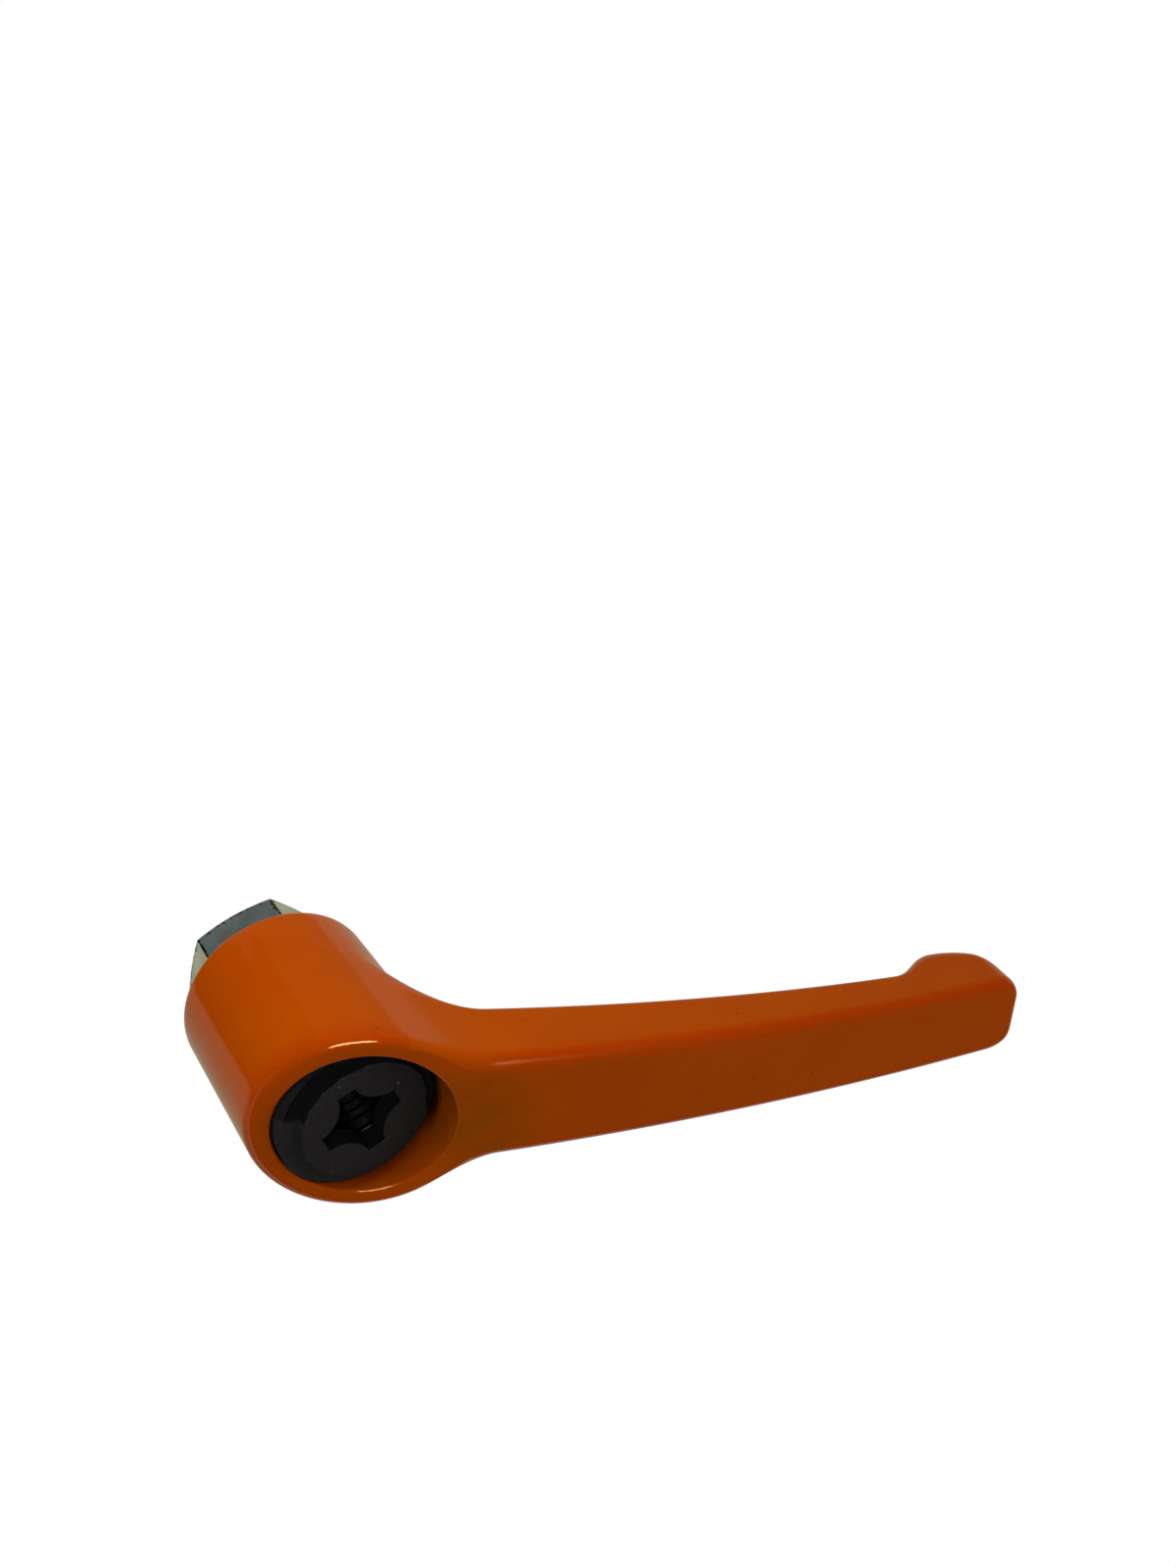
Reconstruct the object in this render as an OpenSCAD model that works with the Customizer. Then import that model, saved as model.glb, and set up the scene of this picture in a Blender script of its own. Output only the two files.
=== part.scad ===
// Adjustable clamping lever: a die-cast handle on a serrated steel insert, held by a
// screw-on retaining cap and pressed into engagement by a compression spring.
// The hub's axis is +Z, the arm points along +X and z = 0 is the insert's clamping face.

/* [Hub] */
// Outside diameter of the hub
hub_d = 24.7; // [23:0.1:30]
// Height of the hub's top face above its foot, on the axis
hub_h = 28.3; // [27:0.2:34]
// Slope of the hub's top face, rising towards the arm, in degrees
top_angle = 21; // [10:1:28]
// Rounding of the top rim
rim_r = 1.2; // [0.6:0.1:1.9]
// Rounding of the hub's foot
foot_r = 1.1; // [0.3:0.1:1.2]
// Diameter of the counterbore that takes the cap and the spring
counterbore_d = 19.6; // [19.4:0.1:21]
// Height of the web's underside above the hub's foot
web_z = 8; // [7.5:0.5:9]
// Thickness of the web that carries the spring
web_t = 3; // [2:0.5:4]

/* [Arm] */
// Length of the arm from the hub's axis, along its top face
arm_len = 83.8; // [65:1:100]
// Distance from the axis at which the top face starts to bend down
bend_start = 9.6; // [5:0.2:14]
// Radius of the top face's downward bend, seen from the side
bend_r = 380; // [250:10:800]
// Width of the arm where it leaves the hub
root_w = 15.2; // [12:0.1:17]
// Width of the arm towards its tip
tip_w = 11.2; // [9:0.2:14]
// Thickness of the arm where it leaves the hub
root_t = 11; // [9:0.2:13]
// Thickness that the arm tapers to before the finger stop
tip_t = 5.6; // [4.5:0.2:8]
// Height on the hub's wall at which the fillet under the arm starts
fillet_low = 7; // [4:0.1:13]
// Distance past the hub's wall, along the top face, at which the fillets to the arm end
fillet_run = 1.8; // [1:0.1:8]
// Fullness of the fillet under the arm
fillet_full = 1.6; // [0.8:0.05:1.8]
// Fullness of the fillets beside the arm
side_full = 0.85; // [0.5:0.05:1.2]
// Rounding of the arm's long edges
edge_r = 1.5; // [0.8:0.1:2]
// Height of the finger stop under the arm's end
stop_h = 4.2; // [2:0.1:6]
// Distance of the finger stop's crest from the tip
stop_back = 8.2; // [7:0.2:11]
// Length of the slope that leads up to the finger stop
stop_run = 7.6; // [6:0.5:12]
// Rounding of the arm's corners at the tip, seen from above
tip_r = 3.6; // [2:0.2:5]

/* [Insert] */
// Width across the flats of the hexagonal foot
hex_af = 18; // [16.8:0.1:20]
// Diameter of the flat end inside the hexagon's bevel
hex_face_d = 16; // [13:0.1:16.6]
// Height of the hexagonal foot
hex_h = 8; // [5:0.5:12]
// Rotation of the hexagon against the arm, in degrees
hex_turn = 17; // [0:1:60]
// Nominal diameter of the stud thread, which is the bore's wall
thread_d = 10; // [8:0.1:10.4]
// Diameter of the insert's neck
neck_d = 13; // [12:0.1:13.4]
// Number of serrations
tooth_count = 36; // [24:12:48]
// Diameter over the tips of the insert's serrations
tooth_d = 15.8; // [15.4:0.1:16]
// Depth of the serrations
tooth_depth = 0.8; // [0.5:0.1:0.9]
// Height of the hub's plain mouth under the serrations
tooth_z = 1.5; // [0.5:0.1:2]
// Length of the serrations
tooth_h = 4; // [3:0.1:4.5]

/* [Retaining cap] */
// Height of the cap's face above the hub's foot
cap_face_z = 27.2; // [26.5:0.1:29]
// Diameter of the cap's raised face
face_d = 15.4; // [14.6:0.1:16]
// Drop from the raised face to the ring around it
face_step = 1; // [0.5:0.1:1.4]
// Outside diameter of the cap's flange
flange_d = 19.2; // [18.4:0.1:19.6]
// Thickness of the flange
flange_t = 3.4; // [2.5:0.1:4]
// Width of the bevel round the flange
flange_bevel = 1; // [0.4:0.1:1.2]
// Depth of the arc-shaped relief in the ring
relief_depth = 1; // [0.4:0.1:1.6]
// Width of the ledge left between the raised face and the relief
relief_ledge = 0.2; // [0.1:0.1:0.4]
// Width of the wall left outside the relief
relief_lip = 0.6; // [0.3:0.1:0.8]
// Angle at which the relief starts, from the arm's direction
relief_from = -20; // [-60:1:30]
// Angle at which the relief ends
relief_to = 163; // [120:1:200]
// Height of the skirt below the flange
skirt_h = 3; // [2:0.5:4]
// Wall of the skirt
skirt_t = 0.8; // [0.6:0.1:1]
// Thickness of the plate over the neck
plate_t = 2.8; // [2:0.1:3.4]
// Distance across the cross recess, end to end
cross_l = 9.4; // [8:0.1:10]
// Width of the cross recess at its ends
cross_w = 2.2; // [1.6:0.1:2.8]
// Clear distance from the axis to the cross recess's inner corners
cross_clear = 3.1; // [2.6:0.1:3.4]
// Rotation of the cross recess, in degrees
cross_turn = 20; // [0:1:90]

/* [Spring] */
// Diameter of the spring wire
wire_d = 1.3; // [1:0.1:1.6]
// Mean diameter of the coils
coil_d = 16.6; // [16.2:0.1:17.2]
// Number of turns, closed ends included
coil_turns = 3.5; // [3:0.5:4]

/* [Fits] */
// Radial clearance of the neck in the web and in the cap
fit_gap = 0.05; // [0.02:0.01:0.1]
// Clearance between the two sets of serrations
tooth_gap = 0.08; // [0.05:0.01:0.12]

/* [Hidden] */

eps = 0.01;
cut_over = 0.5;                             // how far a cut runs past the face it opens
hub_r = hub_d / 2;
slope = tan(top_angle);
fillet_end = hub_r / cos(top_angle) + fillet_run;   // from the axis, along the top face
hub_z = hex_h;                                  // foot of the hub
web_top = hub_z + web_z + web_t;
cap_face = hub_z + cap_face_z;
ring_face = cap_face - face_step;
flange_low = ring_face - flange_t;
neck_top = cap_face - plate_t;
skirt_low = flange_low - skirt_h;
hex_bevel_a = 30;
mouth_gap = 0.2;                                // radial room round the serrations' tips
mouth_d = tooth_d + 2 * mouth_gap;              // plain bore under and over the serrations
collar_d = tooth_d - 2 * tooth_depth - 2 * mouth_gap;

function lerp(a, b, u) = a + (b - a) * u;
function unit(v) = v / max(norm(v), eps);
function arc_in(r, x) = r - sqrt(max(0, r * r - x * x));    // sag of a circle of radius r at x

// The arm's top face in the plane y = 0: straight over the hub, then a large downward arc.
// s runs along it from the hub's axis.
function bend_a(s) = max(0, s - bend_start) / bend_r * 180 / PI;
function spine(s) =
    let (b = bend_a(s), l = min(s, bend_start))
    [l * cos(top_angle) + bend_r * (sin(top_angle) - sin(top_angle - b)), 0,
     hub_h + l * sin(top_angle) + bend_r * (cos(top_angle - b) - cos(top_angle))];
function spine_up(s) = let (a = top_angle - bend_a(s)) [-sin(a), 0, cos(a)];

// Taper of the arm, and the finger stop that swells under its end
stop_s = arm_len - stop_back;
taper_power = 1.3;                          // above 1 the arm narrows fastest at its root
function taper(s) = pow(max(0, 1 - (s - bend_start) / (arm_len - bend_start)), taper_power);
function swell(s) =
    s <= stop_s - stop_run ? 0
    : s <= stop_s ? (1 - cos(180 * (s - stop_s + stop_run) / stop_run)) / 2
    : 1;
function tip_fall(s, run) = arc_in(1, max(0, s - arm_len + run) / run);   // 0 to 1 over the last run
function arm_half_w(s) =
    lerp(tip_w, root_w, taper(s)) / 2 - tip_r * tip_fall(s, tip_r);
function arm_drop(s) = edge_r * tip_fall(s, edge_r);
function arm_t(s) =
    let (full = lerp(tip_t, root_t, taper(s)) + stop_h * swell(s))
    lerp(full, edge_r * 2, tip_fall(s, stop_back)) - arm_drop(s);
function low_r(s) = edge_r * (1 + swell(s) * (1 - tip_fall(s, stop_back)));

// Counts of points: half the columns across the arm, and the steps of its corners, sides and edges
half_cols = 9;
corner_n = 4;
side_n = 5;
edge_n = 4;
flank_n = corner_n + side_n + edge_n;
col_deg = 7.2;
col_n = 360 / col_deg;
root_a = half_cols * col_deg;               // the arm leaves the hub between -root_a and root_a
fillet_n = 9;

// One cross-section of the arm, as a ring of points that starts at its lower -Y corner
function flank(s) =
    let (w = arm_half_w(s), t = arm_t(s), q = min(low_r(s), w, t / 2), e = min(edge_r, w, t / 2))
    [for (i = [0:flank_n])
        i < corner_n ? [w - q + q * sin(90 * i / corner_n), -t + q - q * cos(90 * i / corner_n)]
        : i <= corner_n + side_n ? [w, lerp(-t + q, -e, (i - corner_n) / side_n)]
        : let (a = 90 * (i - corner_n - side_n) / edge_n) [w - e + e * cos(a), -e + e * sin(a)]];
function section(s) =
    let (f = flank(s), base = spine(s) - arm_drop(s) * spine_up(s), up = spine_up(s), n = 2 * half_cols)
    [for (p = concat(
        [for (i = [0:n - 1]) [lerp(-f[0][0], f[0][0], i / n), f[0][1]]],
        [for (i = [0:flank_n - 1]) f[i]],
        [for (i = [0:n - 1]) [lerp(f[flank_n][0], -f[flank_n][0], i / n), f[flank_n][1]]],
        [for (i = [0:flank_n - 1]) [-f[flank_n - i][0], f[flank_n - i][1]]]))
     base + [0, p[0], 0] + p[1] * up];

// The hub as rows of points from its top face to its foot; each row is a full turn
function top_z(x) = hub_h + x * slope;
function rim_row(i) = let (a = 90 * i / edge_n)
    [for (j = [0:col_n - 1]) let (c = j * col_deg, q = hub_r - rim_r + rim_r * sin(a))
        [q * cos(c), q * sin(c), top_z(q * cos(c)) - rim_r * (1 - cos(a))]];
function wall_row(v) =
    [for (j = [0:col_n - 1]) let (c = j * col_deg)
        [hub_r * cos(c), hub_r * sin(c), lerp(top_z(hub_r * cos(c)) - rim_r, fillet_low, v)]];
function flat_row(q, z) = [for (j = [0:col_n - 1]) [q * cos(j * col_deg), q * sin(j * col_deg), z]];
foot_n = 3;
lid_q = counterbore_d / 2 - cut_over;       // inside the counterbore, which cuts it away
sole_q = mouth_d / 2 - cut_over;            // inside the bore, which cuts it away
hub_rows = concat(
    [[for (j = [0:col_n - 1]) let (x = lid_q * cos(j * col_deg)) [x, lid_q * sin(j * col_deg), top_z(x)]]],
    [for (i = [0:edge_n]) rim_row(i)],
    [for (i = [1:corner_n + side_n]) wall_row(i / (corner_n + side_n))],
    [for (i = [0:foot_n]) let (a = 90 * i / foot_n)
        flat_row(hub_r - foot_r * (1 - cos(a)), foot_r * (1 - sin(a)))],
    [flat_row(sole_q, 0)]);
hub_row_n = len(hub_rows);
first_row = 1;                              // the arm's top edge on the hub
last_row = first_row + flank_n;             // the fillet's lower edge on the hub

// The opening in the hub's rows that the arm grows from, as [row, column] pairs in the order of section()
root_ring = concat(
    [for (i = [0:2 * half_cols - 1]) [last_row, i - half_cols]],
    [for (i = [0:flank_n - 1]) [last_row - i, half_cols]],
    [for (i = [0:2 * half_cols - 1]) [first_row, half_cols - i]],
    [for (i = [0:flank_n - 1]) [first_row + i, -half_cols]]);
ring_n = len(root_ring);
function hub_id(rc) = rc[0] * col_n + (rc[1] + col_n) % col_n;
function hub_point(rc) = hub_rows[rc[0]][(rc[1] + col_n) % col_n];

// Direction in which the skin leaves the hub at a point of that opening
function leave_dir(rc) =
    let (c = rc[1] * col_deg, side = sign(c),
         v = max(0, rc[0] - first_row - edge_n) / (corner_n + side_n),
         round_way = unit([abs(sin(c)), -side * cos(c), slope * abs(sin(c)) * (1 - v)]),
         turn = rc[0] == last_row ? 45 * pow(c / root_a, 2)
              : min(90, 45 + 45 * (last_row - rc[0]) / corner_n))
    rc[0] == first_row ? [cos(top_angle), 0, sin(top_angle)]
    : cos(turn) * [0, 0, 1] + sin(turn) * round_way;
function hermite(p, m, q, n, u) =
    (1 + 2 * u) * pow(1 - u, 2) * p + u * pow(1 - u, 2) * m
    + u * u * (3 - 2 * u) * q + u * u * (u - 1) * n;
heading_step = 0.5;                         // step over which the arm's own direction is taken
root_end = section(fillet_end);
root_next = section(fillet_end + heading_step);
function fillet_ring(u) =
    [for (k = [0:ring_n - 1])
        let (rc = root_ring[k], p = hub_point(rc), q = root_end[k], reach = norm(q - p),
             full = lerp(fillet_full, side_full, (last_row - rc[0]) / flank_n))
        hermite(p, full * reach * leave_dir(rc), q, reach * unit(root_next[k] - q), u)];

// Stations along the arm, closer together over the finger stop and round the tip
arm_n = 14;
stop_n = 9;
tip_n = 9;
stations = concat(
    [for (i = [0:arm_n - 1]) lerp(fillet_end, stop_s - stop_run, i / arm_n)],
    [for (i = [0:stop_n - 1]) lerp(stop_s - stop_run, stop_s, i / stop_n)],
    [for (i = [0:tip_n]) stop_s + stop_back * sin(90 * i / tip_n)]);
skin_rings = concat(
    [for (i = [1:fillet_n - 1]) fillet_ring(i / fillet_n)],
    [for (s = stations) section(s)]);
skin_n = len(skin_rings);
hub_point_n = hub_row_n * col_n;
function skin_id(i, k) =
    i == 0 ? hub_id(root_ring[k % ring_n]) : hub_point_n + (i - 1) * ring_n + k % ring_n;
function flat_list(l) = [for (a = l) for (b = a) b];
function in_root(i, j) =
    i >= first_row && i < last_row && (j < half_cols || j >= col_n - half_cols);

// Outside of the handle as one closed skin, still without its bores
module handle_skin() {
    hub_faces = [for (i = [0:hub_row_n - 2]) for (j = [0:col_n - 1]) if (!in_root(i, j))
        let (a = hub_id([i, j]), b = hub_id([i, j + 1]),
             c = hub_id([i + 1, j + 1]), d = hub_id([i + 1, j]))
        each [[a, b, c], [a, c, d]]];
    lids = [[for (j = [col_n - 1:-1:0]) hub_id([0, j])],
            [for (j = [0:col_n - 1]) hub_id([hub_row_n - 1, j])]];
    arm_faces = [for (i = [0:skin_n - 1]) for (k = [0:ring_n - 1])
        let (a = skin_id(i, k), b = skin_id(i, k + 1), c = skin_id(i + 1, k + 1), d = skin_id(i + 1, k))
        each [[a, c, b], [a, d, c]]];
    tip = [[for (k = [ring_n - 1:-1:0]) skin_id(skin_n, k)]];
    polyhedron(points = concat(flat_list(hub_rows), flat_list(skin_rings)),
        faces = concat(hub_faces, lids, arm_faces, tip), convexity = 6);
}

// Outline of a serrated ring; grow widens each tooth and its tip by that much.
// The half widths of a tooth at its root and tip are shares of the pitch.
tooth_root_share = 0.34;
tooth_tip_share = 0.12;
module serration(grow = 0) {
    tip = tooth_d / 2 + grow;
    root = tooth_d / 2 - tooth_depth + grow;
    pitch = 360 / tooth_count;
    widen = grow / tip * 180 / PI;
    polygon([for (i = [0:tooth_count - 1]) each [
        for (p = [[-tooth_root_share, root], [-tooth_tip_share, tip],
                  [tooth_tip_share, tip], [tooth_root_share, root]])
            let (a = (i + p[0]) * pitch + sign(p[0]) * widen) p[1] * [cos(a), sin(a)]]]);
}

module handle() {
    color("darkorange")
    translate([0, 0, hub_z])
    difference() {
        handle_skin();
        translate([0, 0, web_z + web_t]) cylinder(d = counterbore_d, h = hub_h + hub_r);
        translate([0, 0, -cut_over]) cylinder(d = neck_d + 2 * fit_gap, h = web_z + web_t + 2 * cut_over);
        translate([0, 0, -cut_over]) cylinder(d = mouth_d, h = tooth_z + cut_over);
        translate([0, 0, tooth_z + tooth_h]) cylinder(d = mouth_d, h = web_z - tooth_z - tooth_h);
        translate([0, 0, tooth_z - cut_over]) linear_extrude(tooth_h + 2 * cut_over) serration(tooth_gap);
    }
}

module threaded_insert() {
    bevel_z = (hex_af - hex_face_d / 2) * tan(hex_bevel_a);
    color("silver")
    difference() {
        union() {
            intersection() {
                rotate([0, 0, hex_turn]) cylinder(d = hex_af / cos(30), h = hex_h, $fn = 6);
                rotate_extrude($fn = 96) polygon([[0, 0], [hex_face_d / 2, 0],
                    [hex_af, bevel_z], [hex_af, bevel_z + hex_h], [0, bevel_z + hex_h]]);
            }
            cylinder(d = collar_d, h = hub_z + tooth_z + cut_over, $fn = 96);
            translate([0, 0, hub_z + tooth_z]) linear_extrude(tooth_h) serration();
            cylinder(d = neck_d, h = neck_top, $fn = 96);
        }
        translate([0, 0, -cut_over]) cylinder(d = thread_d, h = neck_top + 2 * cut_over, $fn = 96);
    }
}

// Cross recess: a square whose four corners are rounded off inwards
module cross() {
    lobe = (cross_clear / sqrt(2) - cross_w / 2) / (1 - 1 / sqrt(2));
    centre = cross_clear / sqrt(2) + lobe / sqrt(2);
    difference() {
        square(cross_l, center = true);
        for (x = [-1, 1], y = [-1, 1]) translate([x * centre, y * centre]) circle(r = lobe, $fn = 96);
    }
}

module retaining_cap() {
    flange_r = flange_d / 2;
    skirt_d = neck_d + 2 * fit_gap;
    relief_r = face_d / 2 + relief_ledge;
    relief_w = flange_r - relief_lip - relief_r;
    color([0.13, 0.13, 0.14])
    difference() {
        rotate_extrude($fn = 96) polygon([
            [0, skirt_low], [skirt_d / 2 + skirt_t, skirt_low], [skirt_d / 2 + skirt_t, flange_low],
            [flange_r, flange_low], [flange_r, ring_face - flange_bevel],
            [flange_r - flange_bevel, ring_face], [face_d / 2, ring_face],
            [face_d / 2, cap_face], [0, cap_face]]);
        translate([0, 0, skirt_low - cut_over])
            cylinder(d = skirt_d, h = neck_top - skirt_low + cut_over, $fn = 96);
        translate([0, 0, neck_top - eps]) linear_extrude(plate_t + cut_over) rotate(cross_turn) cross();
        rotate([0, 0, relief_from])
            translate([0, 0, ring_face - relief_depth])
            rotate_extrude(angle = relief_to - relief_from, $fn = 96)
            translate([relief_r, 0]) square([relief_w, relief_depth + cut_over]);
    }
}

// Wire of the spring, swept along a helix whose end turns lie closed
module compression_spring() {
    side_n = 10;
    turn_n = 24;
    rest_gap = 0.02;                        // play at each end
    low = web_top + wire_d / 2 + rest_gap;
    rise = flange_low - web_top - wire_d - 2 * rest_gap;
    closed = 0.75;                          // turns at each end that lie closed
    closed_rise = 0.35 * wire_d;
    step_n = coil_turns * turn_n;
    function coil_z(t) =
        t < closed ? closed_rise * t / closed
        : t > coil_turns - closed ? rise - closed_rise * (coil_turns - t) / closed
        : lerp(closed_rise, rise - closed_rise, (t - closed) / (coil_turns - 2 * closed));
    rings = [for (i = [0:step_n]) let (t = i / turn_n, a = 360 * t)
        [for (k = [0:side_n - 1]) let (b = 360 * k / side_n, q = coil_d / 2 + wire_d / 2 * cos(b))
            [q * cos(a), q * sin(a), low + coil_z(t) + wire_d / 2 * sin(b)]]];
    function id(i, k) = i * side_n + k % side_n;
    color("gainsboro")
    polyhedron(points = flat_list(rings), faces = concat(
        [[for (k = [side_n - 1:-1:0]) id(0, k)]],
        [for (i = [0:step_n - 1]) for (k = [0:side_n - 1])
            each [[id(i, k), id(i + 1, k + 1), id(i + 1, k)], [id(i, k), id(i, k + 1), id(i + 1, k + 1)]]],
        [[for (k = [0:side_n - 1]) id(step_n, k)]]), convexity = 6);
}

handle();
threaded_insert();
retaining_cap();
compression_spring();
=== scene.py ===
import math
import bpy
import numpy as np
from mathutils import Matrix, Vector


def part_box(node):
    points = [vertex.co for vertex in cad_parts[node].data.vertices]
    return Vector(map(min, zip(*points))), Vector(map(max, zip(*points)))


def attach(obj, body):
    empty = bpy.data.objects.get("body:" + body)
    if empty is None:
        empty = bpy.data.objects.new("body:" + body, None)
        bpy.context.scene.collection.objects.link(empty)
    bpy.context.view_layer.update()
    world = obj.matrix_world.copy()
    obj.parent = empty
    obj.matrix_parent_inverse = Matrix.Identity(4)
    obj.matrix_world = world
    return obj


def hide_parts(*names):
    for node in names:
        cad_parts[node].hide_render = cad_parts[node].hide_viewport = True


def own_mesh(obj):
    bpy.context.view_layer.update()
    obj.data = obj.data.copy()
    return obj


# Adjustable clamping lever: the looks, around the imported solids
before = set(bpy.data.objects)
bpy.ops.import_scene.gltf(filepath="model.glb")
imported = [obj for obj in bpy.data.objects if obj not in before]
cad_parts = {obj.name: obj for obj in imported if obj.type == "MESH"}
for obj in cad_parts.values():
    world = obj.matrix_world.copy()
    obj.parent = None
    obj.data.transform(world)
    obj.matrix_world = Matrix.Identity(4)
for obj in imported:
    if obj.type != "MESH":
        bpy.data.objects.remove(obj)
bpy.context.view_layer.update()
mm = 0.001
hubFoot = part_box("handle")[0].z / mm
print("frame loaded, hub foot at", round(hubFoot, 2), "mm")


def toLinear(hexColour):
    # sRGB hex to linear RGBA
    parts = [int(hexColour[i:i + 2], 16) / 255 for i in (1, 3, 5)]
    return tuple(p / 12.92 if p <= 0.04045 else ((p + 0.055) / 1.055) ** 2.4 for p in parts) + (1.0,)


def addNode(tree, kind, settings=None, inputs=None):
    node = tree.nodes.new(kind)
    for name, value in (settings or {}).items():
        setattr(node, name, value)
    for name, value in (inputs or {}).items():
        if isinstance(value, bpy.types.NodeSocket):
            tree.links.new(value, node.inputs[name])
        else:
            node.inputs[name].default_value = value
    return node


def newMaterial(name, inputs):
    material = bpy.data.materials.new(name)
    material.use_nodes = True
    tree = material.node_tree
    tree.nodes.clear()
    shader = addNode(tree, "ShaderNodeBsdfPrincipled", inputs=inputs)
    addNode(tree, "ShaderNodeOutputMaterial", inputs={"Surface": shader.outputs["BSDF"]})
    place = addNode(tree, "ShaderNodeTexCoord").outputs["Object"]
    return material, tree, shader, place


def setRamp(node, positions, colours):
    elements = node.color_ramp.elements
    while len(elements) < len(positions):
        elements.new(1.0)
    for element, position, colour in zip(elements, positions, colours):
        element.position = position
        element.color = toLinear(colour)


def spotMask(tree, place, spotMm, fadeMm):
    # 1 within the first distance of a spot, fading to 0 at the second
    away = addNode(tree, "ShaderNodeVectorMath", {"operation": "DISTANCE"}, {
        0: place, 1: [c * mm for c in spotMm]})
    near = addNode(tree, "ShaderNodeMapRange", {"interpolation_type": "SMOOTHSTEP"}, {
        "Value": away.outputs["Value"], "From Min": fadeMm[0] * mm, "From Max": fadeMm[1] * mm,
        "To Min": 1.0, "To Max": 0.0})
    return near.outputs["Result"]


def makePiece(name, skin, material, body, sharpDeg):
    # a skin is its points in mm in the row's frame, its faces, and named weights for its material
    points, faces, weights = skin
    mesh = bpy.data.meshes.new(name)
    mesh.from_pydata([tuple(p) for p in points * mm], [], faces)
    mesh.update()
    mesh.shade_smooth()
    mesh.set_sharp_from_angle(angle=math.radians(sharpDeg))
    mesh.materials.append(material)
    piece = bpy.data.objects.new(name, mesh)
    bpy.context.scene.collection.objects.link(piece)
    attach(piece, body)
    for label, values in weights.items():
        mesh.attributes.new(label, "FLOAT", "POINT").data.foreach_set("value", values)
    return piece


def gridFaces(rowIds, closed, skip=None):
    # quads between successive rows of point numbers; each row is a full turn
    faces = []
    pairs = list(zip(rowIds, rowIds[1:] + rowIds[:1] if closed else rowIds[1:]))
    for i, (a, b) in enumerate(pairs):
        n = len(a)
        for j in range(n):
            if skip and skip(i, j):
                continue
            faces.append((a[j], b[j], b[(j + 1) % n], a[(j + 1) % n]))
    return faces


def turnRow(q, z, deg):
    # one turn of points round the axis; q, z and deg may be numbers or one value per column
    a = np.radians(deg)
    return np.stack((q * np.cos(a), q * np.sin(a), z + 0 * a), axis=1)


def toothRing(d):
    # angles and radii of one turn of serrations, four points to a tooth
    tooth = np.array((-d["toothRootDeg"], -d["toothTipDeg"], d["toothTipDeg"], d["toothRootDeg"]))
    deg = (360 / d["toothCount"] * np.arange(d["toothCount"])[:, None] + tooth).ravel()
    q = np.tile((d["toothRootR"], d["toothTipR"], d["toothTipR"], d["toothRootR"]), d["toothCount"])
    return deg, q


# Camera at the photograph's angle: the lever lies on its side, so the picture's up is +Y

camera = {
    "spotMm": (-40.48, 105.10, 144.82),
    "aimMm": (65.07, 0.0, -20.98),
    "rollDeg": 1.36,
    "lensMm": 30.375,
    "sensorMm": 36,
    "clipM": (0.005, 50),
}


def addCamera(d):
    data = bpy.data.cameras.new("camera")
    data.lens = d["lensMm"]
    data.sensor_width = d["sensorMm"]
    data.clip_start, data.clip_end = d["clipM"]
    eye = bpy.data.objects.new("camera", data)
    spot = Vector(d["spotMm"]) * mm
    back = (spot - Vector(d["aimMm"]) * mm).normalized()
    right = Vector((0, 1, 0)).cross(back).normalized()
    right = Matrix.Rotation(math.radians(d["rollDeg"]), 3, back) @ right
    up = back.cross(right)
    turn = Matrix((right, up, back)).transposed().to_4x4()
    eye.matrix_world = Matrix.Translation(spot) @ turn
    bpy.context.scene.collection.objects.link(eye)
    bpy.context.scene.camera = eye


addCamera(camera)
print("camera placed")

# Powder coat on die-cast zinc: sprayed and baked, so a deep smooth gloss with a slight orange peel

powderCoat = {
    "colour": "#B14700",
    "thin": "#B34900",       # where the coat is thinner
    "deep": "#AF4500",
    "cloudMm": 14,           # width of the slow changes of tone
    "cloudStops": (0.35, 0.5, 0.68),
    "edge": "#B03A00",       # painted reflection: the roundings are coloured redder
    "inside": "#AC4600",     # painted shade: darker coat in the counterbore
    "gapShadow": "#160A03",       # painted shadow from the cap, on the wall above it
    "gapShadowXMm": (7.5, 9.6),   # x where it begins and where it is full
    "gapShadowZMm": (34.4, 36.2),         # height where it starts to fade and where it is gone
    "grime": "#864600",      # rubbed in beside the mouth
    "grimeSpotMm": (11.5, -1, 40.5),
    "grimeMm": (3, 10),
    "grimePatchMm": 3,
    "speck": "#6E2C04",      # bits of dust baked into the coat
    "speckEveryMm": 3.6,
    "speckR": (0.03, 0.07),  # in spacings, where a speck is full and where it ends
    "speckStrength": 0.6,
    "grainMm": 0.3,          # drawn coarser than the real pigment, which is too fine to see
    "grainFrom": (0.25, 0.75),
    "grainShade": (0.95, 1.05),
    "peelMm": 0.9,           # width of the orange peel's waves
    "peelDepthMm": 0.05,
    "peelStrength": 0.035,
    "roughness": 0.07,
    "armRoughness": 0.14,    # the spray reaches the arm drier than the hub
    "roughXMm": (1, 9),      # x over which it changes
    "specular": 0.2,
    "tint": "#FFD08A",
}


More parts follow.
